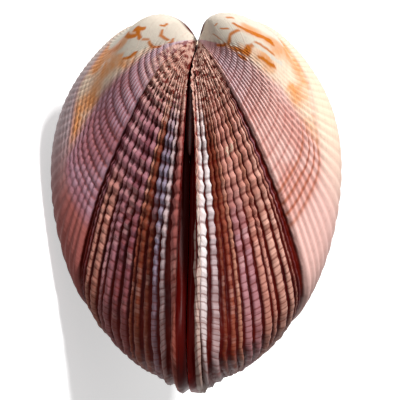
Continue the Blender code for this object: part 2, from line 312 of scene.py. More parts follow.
def split(tree, socket):
    """The three numbers of a place or direction."""
    node = add_node(tree, "ShaderNodeSeparateXYZ", {0: socket})
    return [Field(tree, out) for out in node.outputs]


def noise(tree, place, scale, detail=2.0, rough=0.5):
    """Noise from 0 to 1 about 0.5 at a place."""
    node = add_node(tree, "ShaderNodeTexNoise", {"Vector": place, "Scale": scale, "Detail": detail,
                                                 "Roughness": rough}, noise_dimensions="3D")
    return Field(tree, node.outputs[0])


# ---- Valves ----


def closed_spline(points):
    """Smooth closed curve through the points; the result takes fractions of its whole length."""
    knots = np.array(points, float)
    count = len(knots)
    steps = np.hypot(*np.diff(np.vstack([knots, knots[:1]]), axis=0).T)
    places = np.concatenate([[0.0], np.cumsum(steps)])
    matrix = np.zeros((count, count))
    rhs = np.zeros((count, 2))
    for i in range(count):
        before, after = steps[i - 1], steps[i]
        matrix[i, i - 1] += before
        matrix[i, i] += 2.0 * (before + after)
        matrix[i, (i + 1) % count] += after
        rhs[i] = 6.0 * ((knots[(i + 1) % count] - knots[i]) / after - (knots[i] - knots[i - 1]) / before)
    bends = np.linalg.solve(matrix, rhs)

    def at(u):
        k = np.clip(np.searchsorted(places, u, side="right") - 1, 0, count - 1)
        n = (k + 1) % count
        h = steps[k][:, None]
        p = (places[k + 1] - u)[:, None] / h
        q = (u - places[k])[:, None] / h
        curve = (p ** 3 - p) * bends[k] + (q ** 3 - q) * bends[n]
        return p * knots[k] + q * knots[n] + curve * h ** 2 / 6.0

    fine = np.linspace(0.0, places[-1], 4001)
    line = at(np.minimum(fine, places[-1] - 1e-9))
    length = np.concatenate([[0.0], np.cumsum(np.hypot(*np.diff(line, axis=0).T))])
    return lambda s: at(np.interp(np.mod(s, 1.0) * length[-1], length, fine))


def curve_object(name, lines, closed=False):
    """Curve object of straight steps through each line's points."""
    data = bpy.data.curves.new(name, "CURVE")
    data.dimensions = "3D"
    for line in lines:
        spline = data.splines.new("POLY")
        spline.points.add(len(line) - 1)
        for point, place in zip(spline.points, line):
            point.co = (*place, 1.0)
        spline.use_cyclic_u = closed
    thing = bpy.data.objects.new(name, data)
    bpy.context.collection.objects.link(thing)
    return thing


def margin_curve():
    """The margin outline as a closed curve of many short steps."""
    steps = 1200
    line = closed_spline(OUTLINE)(np.arange(steps) / steps)
    return curve_object("margin_outline", [[(aft, down, 0.0) for aft, down in line]], closed=True)


def mark_curves(kind, side):
    """The marks as lines over the growth map; a line lies the deeper below it, the narrower its mark."""
    lines = []
    for points, half in MARKS[kind][side]:
        depth = math.sqrt(MARK_REACH[kind] ** 2 - half ** 2)
        lines.append([(path, age * AGE_SPAN, depth) for path, age in points])
    return curve_object(kind + "_marks", lines)


def geometry_tree(name, sockets):
    """Geometry node tree with the inputs all pieces share and its own: (name, kind, default)."""
    tree = bpy.data.node_groups.new(name, "GeometryNodeTree")
    tree.is_modifier = True
    tree.interface.new_socket("Geometry", in_out="OUTPUT", socket_type="NodeSocketGeometry")
    sockets = [
        ("Material", "Material", None), ("Beak", "Vector", None), ("Side", "Float", 1.0),
        ("Reach", "Float", REACH), ("Skew", "Float", BEAK_SKEW), ("Pitch", "Float", 0.0),
        ("Roll", "Float", 0.0),
    ] + sockets
    for label, kind, default in sockets:
        socket = tree.interface.new_socket(label, in_out="INPUT", socket_type="NodeSocket" + kind)
        if default is not None:
            socket.default_value = default
    inputs = tree.nodes.new("NodeGroupInput")
    given = {}
    for label, kind, default in sockets:
        socket = inputs.outputs[label]
        given[label] = Field(tree, socket) if kind in ("Float", "Int") else socket
    return tree, given


def finish_tree(tree, mesh, material):
    """Smooth shading, realized instances, the material, and the tree's output."""
    for kind in ("GeometryNodeSetShadeSmooth", "GeometryNodeRealizeInstances"):
        mesh = add_node(tree, kind, {"Geometry": mesh}).outputs[0]
    mesh = add_node(tree, "GeometryNodeSetMaterial", {"Geometry": mesh, "Material": material}).outputs[0]
    tree.links.new(mesh, tree.nodes.new("NodeGroupOutput").inputs[0])
    return tree


def named(tree, label):
    """A number stored on the mesh."""
    node = add_node(tree, "GeometryNodeInputNamedAttribute", {"Name": label}, data_type="FLOAT")
    return Field(tree, node.outputs["Attribute"])


def store(tree, mesh, values, domain="POINT", kind="FLOAT"):
    """The mesh with values stored on it under their names."""
    for label, value in values.items():
        node = add_node(tree, "GeometryNodeStoreNamedAttribute", {"Geometry": mesh, "Name": label},
                        data_type=kind, domain=domain)
        join(tree, value, node.inputs["Value"])
        mesh = node.outputs["Geometry"]
    return mesh


def position(tree):
    """Where each point of the mesh is."""
    return add_node(tree, "GeometryNodeInputPosition").outputs[0]


def flat_sheet(tree, columns, rows):
    """Flat sheet of one unit by one unit about the origin."""
    return add_node(tree, "GeometryNodeMeshGrid", {"Size X": 1.0, "Size Y": 1.0, "Vertices X": columns,
                                                   "Vertices Y": rows}).outputs["Mesh"]


def moved(tree, mesh, place, by="Position"):
    """The mesh with its points at a place, or moved by it."""
    return add_node(tree, "GeometryNodeSetPosition", {"Geometry": mesh, by: place}).outputs[0]


def welded(tree, mesh, distance):
    """The mesh with points that coincide made one."""
    return add_node(tree, "GeometryNodeMergeByDistance", {"Geometry": mesh, "Distance": distance}).outputs[0]


def flipped(tree, mesh):
    """The mesh with its faces turned over."""
    return add_node(tree, "GeometryNodeFlipFaces", {"Mesh": mesh}).outputs[0]


def swing(place, growth, side):
    """How far a rib has moved along the margin at this place and growth."""
    hind = place.smooth(0.2, 0.28) * place.fade(0.52, 0.6)
    flank = place.smooth(0.54, 0.72) * place.fade(0.78, 0.99)
    return (growth - 0.6) * FLANK_LEAN * flank - growth.smooth(0.58, 0.95) * hind * HIND_DRIFT[side]


def age_line(place, growth):
    """Growth as the colour bands and beads follow it: they climb towards the umbo on the flank."""
    return growth + place.track(CLIMB_TRACK, soft=True) * growth * (1.0 - growth)


def skin_point(tree, place, growth, given):
    """Smooth outer skin of a valve in millimetres: aft, down, out."""
    sample = add_node(tree, "GeometryNodeSampleCurve", {"Factor": place}, mode="FACTOR",
                      use_all_curves=False)
    curve = add_node(tree, "GeometryNodeObjectInfo", {"Object": given["Margin"]})
    join(tree, curve.outputs["Geometry"], sample.inputs["Curves"])
    margin_aft, margin_down, _ = split(tree, sample.outputs["Position"])
    flank = place.smooth(0.42, 0.76) * place.fade(0.88, 1.0)
    power = HIND_LIP + (FLANK_LIP - HIND_LIP) * flank
    umbo = growth.track([(0.0, 0.0), (UMBO_AT, 1.0), (UMBO_END, 0.0), (1.0, 0.0)])
    umbo = (0.5 - (umbo * math.pi).math("COSINE") * 0.5) * place.smooth(0.5, 0.76)
    umbo = umbo * place.fade(0.93, 1.0)
    bulge = HIND_BULGE + (FLANK_BULGE - HIND_BULGE) * flank - UMBO_PINCH * umbo
    lip = (1.0 - growth ** power).math("MAXIMUM", 0.0).math("SQRT")
    left_over = math.exp(-(1.0 / BEAK_SPREAD) ** BEAK_POWER)
    curl = (-((growth / BEAK_SPREAD) ** BEAK_POWER)).math("EXPONENT") - left_over
    angle = FLANK_TURN * lip + BEAK_TURN * curl + UMBO_TURN * umbo
    out = growth * margin_down * angle.math("SINE") * bulge
    cheek = CHEEK * out * out
    aft = growth * margin_aft + cheek * math.sin(HINGE_LEAN)
    down = growth * margin_down * angle.math("COSINE") - cheek * math.cos(HINGE_LEAN)
    return aft * given["Reach"], down * given["Reach"], out * given["Reach"]


def rib_path(place, growth, out, side):
    """Margin place at which the rib through a point of the skin was laid down."""
    path = place - swing(place, growth, side)
    beside = (out / LIP_REACH).track(LIP_TRACK) + HIND_DRIFT[side]
    over = growth.smooth(0.925, 0.945) * place.fade(0.36, 0.44)
    return path + (beside - path) * over


def bead_shape(count, power=ROUNDNESS):
    """Beads with narrow notches between them; the count passes a whole number at each notch."""
    return (count * math.pi).math("SINE").math("ABSOLUTE") ** power


def flank_wave(path, side):
    """1 in the furrows between the fine ribs of the flank, 0 on the ribs; they crowd as they go on."""
    first = GROOVE_AT[side] + FLANK_START
    share = (path - first) / (FLANK_END - first)
    turns = share * (FLANK_RIBS + FLANK_CROWD * share)
    return (turns * (2.0 * math.pi)).math("COSINE") * 0.5 + 0.5


def hind_crest(tree, path, growth, age, count, side):
    """Height of the hind ribs in millimetres, and the bead count once each rib's beads are out of step."""
    later = age.smooth(0.45, 0.75)
    swell = 0.93 + 0.11 * bead_shape(count, 0.9)
    swell = swell + (1.0 - swell) * growth.smooth(0.7, 0.9)
    crest = number(tree, 0.0)
    for i, (at, half, tall) in enumerate(HIND_RIBS[side]):
        away = (path - at) / half
        crest = crest + tall * (away / swell).near(0.0, 1.0) ** ROUNDNESS
        count = count + away.math("ABSOLUTE").math("LESS_THAN", 1.25) * later * (0.37 * i % 1.0 - 0.5)
    return crest, count


def flank_relief(place, growth, path, bead, wobble, side):
    """Height of the fine flank ribs and their knots in millimetres, and 1 where they show."""
    first = GROOVE_AT[side] + FLANK_START
    inside = path.smooth(first - 0.001, first) * path.fade(FLANK_END, FLANK_END + 0.001)
    start = place.smooth(0.57, 0.7) * 0.22 + 0.03 + place.smooth(0.7, 0.8) * 0.18
    smooth_umbo = place.smooth(0.6, 0.66) * growth.fade(0.34, 0.55)
    shown = growth.smooth(start, start + 0.14) * inside * (1.0 - smooth_umbo)
    knots = growth.fade(0.6, 0.8) * (1.0 - 0.8 * place.smooth(0.6, 0.74))
    depth = -0.17 + 0.11 * place.smooth(0.58, 0.68) + 0.035 * growth.smooth(0.7, 0.82)
    height = flank_wave(path, side) * depth - (1.0 - bead) * knots * KNOT_HEIGHT[side] + wobble * 0.06
    return height, shown


def relief(tree, place, growth, path, side):
    """Height of ribs, beads and groove in millimetres, and what the colours follow.

    Those are the crest of the hind ribs, the age, where the fine ribs show and the bead count.
    """
    age = age_line(place, growth)
    groove = GROOVE_AT[side]
    border = HIND_RIBS[side][0][0]
    here = position(tree)
    wobble = noise(tree, here, 1600.0) - 0.5
    aft = split(tree, here)[0] / (REACH * MM)
    level = age + (aft - age) * path.math("LESS_THAN", SEAM_RIBS)
    count = level.track(BEAD_TRACK) * BEADS + (noise(tree, here, 90.0, 1.0) - 0.5) * 0.8
    path = path + (noise(tree, here, 420.0) - 0.5) * 0.0018
    crest, count = hind_crest(tree, path, growth, age, count, side)
    bead = bead_shape(count)
    in_hind = path.smooth(border - 0.024, border - 0.006) * path.fade(groove, groove + GROOVE_HALF)
    ladder = bead_shape(count, 5.0) * 0.2 * growth.fade(0.5, 0.75)
    uneven = 1.0 + (noise(tree, here, 700.0, 1.0) - 0.5) * 0.9
    height = crest * uneven * (1.0 - (1.0 - bead) * growth.track(NOTCH_TRACK)) - HIND_FLOOR * in_hind
    height = height + ladder * in_hind
    height = height - GROOVE_DEPTH * path.near(groove, GROOVE_HALF) * growth.smooth(0.12, 0.45)
    rough = wobble * 0.9 * (0.25 + 0.75 * growth.fade(0.2, 0.5)) * in_hind
    height = (height + rough) * growth.smooth(0.02, 0.16)
    flank, shown = flank_relief(place, growth, path, bead, wobble, side)
    return height + flank * shown, crest, age, shown, count


def mark_cover(tree, given, kind, path, age):
    """1 on the marks of one kind, 0 off them."""
    reach = MARK_REACH[kind]
    drawn = add_node(tree, "GeometryNodeObjectInfo", {"Object": given[kind.title() + " Marks"]})
    lines = add_node(tree, "GeometryNodeCurveToMesh", {"Curve": drawn.outputs["Geometry"]}).outputs["Mesh"]
    here = position(tree)
    ragged = (noise(tree, here, 700.0) - 0.5) * 0.02
    drift = (noise(tree, here, 460.0) - 0.5) * 0.04
    spot = vector(tree, path + ragged, (age + drift) * AGE_SPAN, 0.0)
    away = add_node(tree, "GeometryNodeProximity", {0: lines, "Sample Position": spot},
                    target_element="EDGES")
    square = Field(tree, away.outputs["Distance"]) ** 2.0
    soft = reach * MARK_SOFTNESS[kind]
    return square.fade(reach * reach - soft, reach * reach + soft)


def place_valve(tree, aft, down, out, given):
    """Shell directions in millimetres to the lying shell in metres."""
    x = aft * math.cos(HINGE_LEAN) + down * math.sin(HINGE_LEAN)
    y = down * math.cos(HINGE_LEAN) - aft * math.sin(HINGE_LEAN)
    near_beak = (-(aft * aft + down * down) / BEAK_SKEW_RANGE ** 2).math("EXPONENT")
    z = out * given["Side"] + near_beak * given["Skew"]
    cos_p, sin_p = given["Pitch"].math("COSINE"), given["Pitch"].math("SINE")
    cos_r, sin_r = given["Roll"].math("COSINE"), given["Roll"].math("SINE")
    x, z = x * cos_p + z * sin_p, z * cos_p - x * sin_p
    y, z = y * cos_r - z * sin_r, y * sin_r + z * cos_r
    x, y, z = (axis * MM + shift for axis, shift in zip((x, y, z), split(tree, given["Beak"])))
    return vector(tree, x, y, z.math("MAXIMUM", 0.0))


def outer_skin(tree, given, side):
    """Outer skin with its ribs, beads and tip lobes, half the gap off the seam plane."""
    # A flat sheet whose X is the margin place and whose Y is the growth
    sheet = flat_sheet(tree, given["Columns"], given["Rows"])
    across, along, _ = split(tree, position(tree))
    growth = (along + 0.5).track(ROW_TRACK) * (along + 0.5).math("GREATER_THAN", 1e-6)
    sheet = store(tree, sheet, {"growth": growth, "margin_place": (across + 0.5).track(COLUMN_TRACK)})
    place, growth = named(tree, "margin_place"), named(tree, "growth")
    skin = vector(tree, *(axis * MM for axis in skin_point(tree, place, growth, given)))
    sheet = flipped(tree, moved(tree, sheet, skin))

    # What the ribs, beads and colours follow is stored before the relief moves the points
    out = split(tree, position(tree))[2] / MM
    sheet = store(tree, sheet, {"path": rib_path(place, growth, out, side)})
    path = named(tree, "path")
    height, crest, age, shown, count = relief(tree, place, growth, path, side)
    sheet = store(tree, sheet, {"growth_map": vector(tree, path, age, 0.0)}, "CORNER", "FLOAT2")
    sheet = store(tree, sheet, {"crest": crest / HIND_FLOOR, "riblet": shown})
    sheet = store(tree, sheet, {kind: mark_cover(tree, given, kind, path, age) for kind in MARKS})
    sheet = store(tree, sheet, {"bead_count": count, "height": height * given["Relief"] * MM})
    push = add_node(tree, "ShaderNodeVectorMath", {0: add_node(tree, "GeometryNodeInputNormal").outputs[0]},
                    operation="SCALE")
    join(tree, named(tree, "height"), push.inputs["Scale"])
    sheet = moved(tree, sheet, push.outputs[0], by="Offset")

    x, y, z = split(tree, position(tree))
    lobe = number(tree, 0.0)
    for at, half, tall in TIP_LOBES[side]:
        lobe = lobe + tall * path.near(at, half)
    lobe = lobe * growth.smooth(0.945, 1.0) * place.fade(0.42, 0.46) * MM
    x, y = x + lobe * math.cos(HINGE_LEAN), y + lobe * math.sin(HINGE_LEAN)
    before_margin = growth.math("LESS_THAN", 0.99999)
    lifted = z.math("MAXIMUM", 0.0) * before_margin + given["Gap"] * 0.5 * MM
    return moved(tree, sheet, vector(tree, x, y, lifted))


def inner_skin(tree, given, outer):
    """Inside: starts on the outer edge, steps in over the margin face and rises under the outer skin."""
    inner = flat_sheet(tree, given["Columns"], given["Inner Rows"])
    index = Field(tree, add_node(tree, "GeometryNodeInputIndex").outputs[0])
    column = (index / given["Inner Rows"]).math("FLOOR")
    step = (index - column * given["Inner Rows"]) / (given["Inner Rows"] - 1.0)
    edge = add_node(tree, "GeometryNodeSampleIndex", {"Geometry": outer}, data_type="FLOAT_VECTOR",
                    domain="POINT", clamp=True)
    join(tree, position(tree), edge.inputs["Value"])
    join(tree, column * given["Rows"] + given["Rows"] - 1.0, edge.inputs["Index"])
    edge_x, edge_y, _ = split(tree, edge.outputs["Value"])
    centre_x, centre_y = 0.3 * REACH * MM, 0.45 * REACH * MM
    draw = step.track([(0.0, 1.0), (0.125, 0.92), (0.25, 0.88), (0.5, 0.7), (0.75, 0.42), (1.0, 0.0)])
    inner = store(tree, inner, {
        "flat_x": (edge_x - centre_x) * draw + centre_x, "flat_y": (edge_y - centre_y) * draw + centre_y,
        "step": step, "inner": step.smooth(0.0, 0.4),
    })
    flat_x, flat_y, step = named(tree, "flat_x"), named(tree, "flat_y"), named(tree, "step")
    ray = add_node(tree, "GeometryNodeRaycast", {"Target Geometry": outer,
                   "Source Position": vector(tree, flat_x, flat_y, -0.001),
                   "Ray Direction": (0.0, 0.0, 1.0), "Ray Length": 0.1}, data_type="FLOAT")
    roof = split(tree, ray.outputs["Hit Position"])[2] * Field(tree, ray.outputs["Is Hit"])
    hollow = (roof - given["Wall"] * 1.5 * MM).math("MAXIMUM", 0.0) * step.math("GREATER_THAN", 0.2)
    return moved(tree, inner, vector(tree, flat_x, flat_y, hollow + given["Gap"] * 0.5 * MM))


def valve_tree(side):
    """Geometry nodes that grow one valve: outer skin with its ribs, margin face and plain inside."""
    tree, given = geometry_tree(side + "_valve_growth", [
        ("Margin", "Object", None), ("Gap", "Float", 0.3), ("Wall", "Float", 1.8),
        ("Columns", "Int", 431), ("Rows", "Int", 213), ("Inner Rows", "Int", 9), ("Relief", "Float", 1.0),
    ] + [(kind.title() + " Marks", "Object", None) for kind in MARKS])
    outer = outer_skin(tree, given, side)
    inner = inner_skin(tree, given, outer)
    both = add_node(tree, "GeometryNodeJoinGeometry")
    tree.links.new(outer, both.inputs[0])
    tree.links.new(inner, both.inputs[0])
    mesh = welded(tree, both.outputs[0], 1e-6)
    aft, down, out = (axis / MM for axis in split(tree, position(tree)))
    mesh = moved(tree, mesh, place_valve(tree, aft, down, out, given))
    if side == "left":
        mesh = flipped(tree, mesh)
    return finish_tree(tree, mesh, given["Material"])


def ligament_tree():
    """Geometry nodes for the tapered, wrinkled strip that lies in the groove behind the beaks."""
    tree, given = geometry_tree("ligament_strip", [
        ("From", "Float", 0.0), ("To", "Float", 0.36), ("Radius", "Float", 0.45), ("Rise", "Float", 0.55),
        ("Steps Along", "Int", 321), ("Steps Round", "Int", 37),
    ])
    sheet = flat_sheet(tree, given["Steps Along"], given["Steps Round"])
    along, around, _ = split(tree, position(tree))
    along, angle = along + 0.5, around * (2.0 * math.pi)
    cosine, sine = angle.math("COSINE"), angle.math("SINE")
    folds = noise(tree, vector(tree, along * 26.0, cosine * 0.9, sine * 0.9), 2.6, 3.0, 0.6) - 0.5
    fibre = noise(tree, vector(tree, along * 3.0, cosine * 4.0, sine * 4.0), 1.5)
    end = (along * 2.0 - 1.0) ** 2.0
    taper = (1.0 - end * end).math("MAXIMUM", 0.0).math("SQRT")
    radius = taper * given["Radius"] * (0.93 + folds * 0.16 + (fibre - 0.5) * 0.1)
    share = given["From"] + (given["To"] - given["From"]) * along
    seam = share.track(SEAM_TRACK, soft=True) * given["Reach"]
    down = seam - given["Rise"] + radius * cosine
    sheet = store(tree, sheet, {"fold": folds + 0.5, "fibre": fibre})
    mesh = moved(tree, sheet, place_valve(tree, share * given["Reach"], down, radius * sine, given))
    return finish_tree(tree, welded(tree, mesh, 2e-7), given["Material"])


def grown(name, tree, values):
    """Run a geometry tree on an empty mesh and keep its result as a plain mesh."""
    holder = bpy.data.objects.new(name, bpy.data.meshes.new(name))
    bpy.context.collection.objects.link(holder)
    modifier = holder.modifiers.new("growth", "NODES")
    modifier.node_group = tree
    for item in tree.interface.items_tree:
        if item.item_type == "SOCKET" and item.in_out == "INPUT" and item.name in values:
            modifier[item.identifier] = values[item.name]
    bpy.context.view_layer.update()
    depsgraph = bpy.context.evaluated_depsgraph_get()
    mesh = bpy.data.meshes.new_from_object(holder.evaluated_get(depsgraph), depsgraph=depsgraph)
    if len(mesh.polygons) == 0:
        raise RuntimeError(name + " came out empty")
    holder.modifiers.clear()
    holder.data = mesh
    mesh.name = name
    for label in ("flat_x", "flat_y", "step", "height", "path"):
        if label in mesh.attributes:
            mesh.attributes.remove(mesh.attributes[label])
    return holder


# ---- Materials ----


# Tones as display colours, 0 to 255
TONES = {
    "white": (238, 230, 230), "ivory": (226, 216, 202), "cream": (246, 226, 204), "bone": (226, 206, 196),
    "chalk": (232, 196, 182), "pearl": (190, 172, 174), "blush": (238, 200, 192),
    "pale_rose": (228, 182, 168), "rosy": (210, 158, 146), "rose": (214, 152, 140),
    "old_rose": (160, 104, 100), "brick_rose": (150, 86, 80), "wine_rose": (126, 66, 60),
    "pale_lilac": (216, 194, 202), "lilac": (196, 172, 188), "heather": (184, 140, 146),
    "mauve": (168, 122, 130), "plum": (140, 94, 102), "slate": (144, 132, 148), "peach": (238, 176, 130),
    "amber": (224, 156, 108), "ochre": (196, 118, 66), "tan": (186, 138, 122), "rust": (170, 98, 68),
    # the carmine tone is painted light, laid on the right valve's shaded escutcheon
    "sienna": (146, 90, 78), "umber": (122, 74, 62), "cocoa": (118, 56, 36), "painted_light_carmine": (164, 24, 16),
    "brick": (116, 26, 18), "garnet": (96, 11, 8), "maroon": (82, 26, 22), "wine": (56, 14, 14),
    "horn": (46, 10, 8), "horn_fold": (96, 26, 18), "horn_fibre": (128, 52, 36), "horn_cloud": (50, 14, 10),
}

# Tone of each hind rib, young and full grown
RIB_TONES = {
    "right": [
        ("pale_rose", "bone"), ("white", "white"), ("white", "pearl"), ("umber", "umber"),
        ("umber", "sienna"), ("tan", "tan"), ("rosy", "heather"), ("rosy", "heather"), ("rosy", "rosy"),
        ("tan", "rosy"), ("rosy", "pale_rose"), ("pale_rose", "pale_rose"), ("rosy", "rosy"),
        ("mauve", "mauve"),
    ],
    "left": [
        ("old_rose", "old_rose"), ("pearl", "pearl"), ("slate", "slate"), ("slate", "umber"),
        ("umber", "umber"), ("tan", "sienna"), ("mauve", "plum"), ("plum", "plum"), ("mauve", "mauve"),
        ("heather", "heather"), ("mauve", "rosy"), ("heather", "rosy"), ("plum", "mauve"), ("plum", "mauve"),
    ],
}

# How the right valve, in warmer tones, and the left differ: tones, how strongly each is laid on, and how
# many margin places past the groove the dusty first growth reaches. The right valve alone gets painted light
# on its escutcheon, a brighter carmine that makes up for the shade that side lies in
LOOKS = {
    "right": SimpleNamespace(
        near="blush", cloud="rose", stripe="rust", late="blush", far="cream", stripes=0.7, far_cream=0.0,
        amber=0.95, sienna=0.45, umber=0.4, painted_light_carmine=0.6, wine=0.55, lattice=0.42, knot=0.25, dust=0.025),
    "left": SimpleNamespace(
        near="mauve", cloud="lilac", stripe="plum", late="old_rose", far="pearl", stripes=0.25,
        far_cream=0.75, amber=0.9, sienna=0.25, umber=0.58, painted_light_carmine=0.0, wine=0.8, lattice=0.6, knot=0.55,
        dust=0.07),
}
# Ages at which growth paused and left a stripe on the flank, and the half width of each
STRIPES = [(0.605, 0.012), (0.645, 0.01), (0.678, 0.01), (0.712, 0.013)]
# Margin places where the ribs' tone ramp starts, how many it runs over and where the first rib's tone
# starts, and the number that turns a rib's number into a fraction
RAMP_FROM, RAMP_SPAN, RAMP_FIRST = 0.2, 0.4, 0.24
RAMP_STEPS = 16.0


def tone(name, alpha=1.0):
    """A tone as the linear colour that a shader takes."""
    parts = [part / 255.0 for part in TONES[name]]
    return tuple(p / 12.92 if p <= 0.04045 else ((p + 0.055) / 1.055) ** 2.4 for p in parts) + (alpha,)


def blend(tree, factor, low, high):
    """Colour between two colours, each a socket or the name of a tone."""
    node = tree.nodes.new("ShaderNodeMix")
    node.data_type = "RGBA"
    join(tree, factor, node.inputs[0])
    for slot, colour in zip(node.inputs[6:8], (low, high)):
        join(tree, tone(colour) if isinstance(colour, str) else colour, slot)
    return node.outputs[2]


def paint(tree, colour, *layers):
    """The colour under layers laid on in turn, each (how much, what colour)."""
    for share, over in layers:
        colour = blend(tree, share, colour, over)
    return colour


def attribute(tree, label):
    """A number stored on the mesh, for a material."""
    node = add_node(tree, "ShaderNodeAttribute", attribute_name=label)
    return Field(tree, node.outputs["Fac"])


def new_material(name):
    """Material with its node tree and its Principled shader."""
    material = bpy.data.materials.new(name)
    material.use_nodes = True
    return material, material.node_tree, material.node_tree.nodes["Principled BSDF"]


def shader_group(name, inputs, outputs):
    """Shader node group with (name, default) number inputs and (name, kind) outputs."""
    tree = bpy.data.node_groups.new(name, "ShaderNodeTree")
    for label, default in inputs:
        socket = tree.interface.new_socket(label, in_out="INPUT", socket_type="NodeSocketFloat")
        socket.default_value = default
    for label, kind in outputs:
        tree.interface.new_socket(label, in_out="OUTPUT", socket_type="NodeSocket" + kind)
    given = tree.nodes.new("NodeGroupInput")
    fields = {label: Field(tree, given.outputs[label]) for label, default in inputs}
    return tree, fields, tree.nodes.new("NodeGroupOutput")


def grain_group():
    """Fine grain shared by all the pieces: speckle and cloud from 0 to 1, and a roughened normal."""
    tree, given, result = shader_group(
        "shell_grain", [("Size", 0.0004), ("Depth", 0.00002), ("Lines", 0.0)],
        [("Speckle", "Float"), ("Cloud", "Float"), ("Normal", "Vector")])
    place = add_node(tree, "ShaderNodeTexCoord").outputs["Object"]
    scale = 1.0 / given["Size"]
    fine = noise(tree, place, scale, 3.0, 0.6)
    bump = add_node(tree, "ShaderNodeBump", {"Height": fine + given["Lines"], "Distance": given["Depth"],
                                             "Strength": 1.0})
    join(tree, fine, result.inputs["Speckle"])
    join(tree, noise(tree, place, scale * 0.12, 4.0, 0.55), result.inputs["Cloud"])
    join(tree, bump.outputs["Normal"], result.inputs["Normal"])
    return tree


def growth_group():
    """Growth lines: fine lines of one age."""
    tree, given, result = shader_group(
        "growth_lines", [("Age", 0.0), ("Place", 0.0), ("Wander", 0.01)], [("Line", "Float")])
    drift = noise(tree, vector(tree, given["Place"] * 30.0, given["Age"] * 8.0, 0.0), 1.0) - 0.5
    age = given["Age"] + drift * given["Wander"]
    line = noise(tree, vector(tree, given["Place"] * 4.0, age * 150.0, 3.0), 1.0, 2.0, 0.7)
    join(tree, line, result.inputs["Line"])
    return tree


def use_group(tree, group, inputs):
    """The outputs of a node group with its inputs set."""
    node = tree.nodes.new("ShaderNodeGroup")
    node.node_tree = group
    for label, value in inputs.items():
        join(tree, value, node.inputs[label])
    return [Field(tree, out) for out in node.outputs]


def rib_ramp(tree, path, side, grown_up):
    """Tone of the rib at a path, and the rib's number as a fraction."""
    node = tree.nodes.new("ShaderNodeValToRGB")
    node.color_ramp.interpolation = "CONSTANT"
    ribs = HIND_RIBS[side]
    marks = node.color_ramp.elements
    while len(marks) < len(ribs):
        marks.new(0.5)
    for i, (mark, (at, half, tall)) in enumerate(zip(marks, ribs)):
        start = RAMP_FIRST if i == 0 else (ribs[i - 1][0] + ribs[i - 1][1] + at - half) / 2.0
        mark.position = (start - RAMP_FROM) / RAMP_SPAN
        mark.color = tone(RIB_TONES[side][i][grown_up], (i + 1) / RAMP_STEPS)
    join(tree, (path - RAMP_FROM) / RAMP_SPAN, node.inputs["Fac"])
    return node.outputs["Color"], Field(tree, node.outputs["Alpha"])


def read_skin(tree, side, groups):
    """All that a valve's colours follow, read from its own map and attributes."""
    grain, growth_lines = groups
    chart = add_node(tree, "ShaderNodeUVMap", uv_map="growth_map")
    path, age, _ = split(tree, chart.outputs["UV"])
    skin = SimpleNamespace(side=side, look=LOOKS[side], groove=GROOVE_AT[side], border=HIND_RIBS[side][0][0],
                           path=path, age=age)
    for label in ("growth", "crest", "bead_count", "riblet", "brown", "orange", "white", "inner"):
        setattr(skin, label, attribute(tree, label))
    skin.bead = bead_shape(skin.bead_count)
    place = attribute(tree, "margin_place")
    skin.line, = use_group(tree, growth_lines, {"Age": age, "Place": place, "Wander": 0.012})
    skin.speckle, skin.cloud, skin.normal = use_group(
        tree, grain, {"Size": 0.00045, "Depth": 0.00003, "Lines": skin.line * 1.2})
    return skin


def hind_colour(tree, skin, dust):
    """Hind area: a tone for each rib, chequered by the beads, with dark ground between.

    The dark ground is partly the shell's own maroon and partly painted shade in the channels; the bead
    notches are darkened with painted shade, and the late growth partly by its own colour, partly with
    painted shade.
    """
    path, age, look = skin.path, skin.age, skin.look
    young, rib_number = rib_ramp(tree, path, skin.side, 0)
    old, _ = rib_ramp(tree, path, skin.side, 1)
    bead_number = (skin.bead_count + 0.5).math("FLOOR")
    cell = add_node(tree, "ShaderNodeTexWhiteNoise", noise_dimensions="2D")
    join(tree, vector(tree, rib_number * RAMP_STEPS, bead_number, 0.0), cell.inputs["Vector"])
    chance = Field(tree, cell.outputs["Value"])
    row = add_node(tree, "ShaderNodeTexWhiteNoise", noise_dimensions="1D")
    join(tree, bead_number, row.inputs["W"])
    row_chance = Field(tree, row.outputs["Value"])
    middle = age.smooth(0.44, 0.56) * age.fade(0.7, 0.76)
    patch = (chance * 0.4 + row_chance * 0.6).smooth(0.46, 0.56) * middle * path.smooth(0.34, 0.37)
    dusty = age.fade(0.16, 0.36)
    rib = paint(
        tree, blend(tree, age.smooth(0.45, 0.62), young, old),
        (patch * look.sienna, "sienna"),
        (chance.smooth(0.75, 0.95) * 0.22, "blush"),
        (chance.smooth(0.3, 0.05) * 0.3, "maroon"),
        (dusty * 0.8, dust),
        # Bead notches darkened toward maroon: painted shade, added to the shade the relief casts
        ((1.0 - skin.bead).smooth(0.2, 0.6) * 0.62, "maroon"),
        # Late growth darkened toward umber, more on the left valve: partly the shell's own darker late ribs,
        # partly painted shade on the lower end, which faces away from the key lamp
        (age.smooth(0.62, 0.95) * look.umber, "umber"),
        (skin.line.smooth(0.52, 0.75) * 0.35, "brick"),
    )
    # Dark ground between the ribs: partly the shell's own maroon, partly painted shade that deepens the
    # channels
    ground = blend(tree, skin.cloud.smooth(0.35, 0.65), "wine", "maroon")
    bank = age.smooth(0.5, 0.72) * 0.22 + 0.15
    hind = paint(
        tree, ground,
        (dusty * 0.55, "cocoa"),
        (skin.crest.smooth(bank, bank + 0.45), rib),
        (skin.brown, "wine"),
        (skin.white * skin.speckle.smooth(0.44, 0.56), "cream"),
    )

    # Escutcheon: dark and streaked along the hinge, and on the right valve lifted with a brighter carmine,
    # painted light for the shade it lies in
    streak = noise(tree, vector(tree, skin.growth * 60.0, path * 9.0, 1.0), 1.0, 3.0, 0.6)
    shield = paint(
        tree, blend(tree, streak.smooth(0.45, 0.75), "garnet", "brick"),
        # painted light: brighter carmine over the right valve's shaded escutcheon
        (look.painted_light_carmine, "painted_light_carmine"),
        (skin.growth.smooth(0.45, 0.8) * look.wine, "wine"),
    )
    return blend(tree, path.smooth(skin.border - 0.02, skin.border - 0.01), shield, hind)


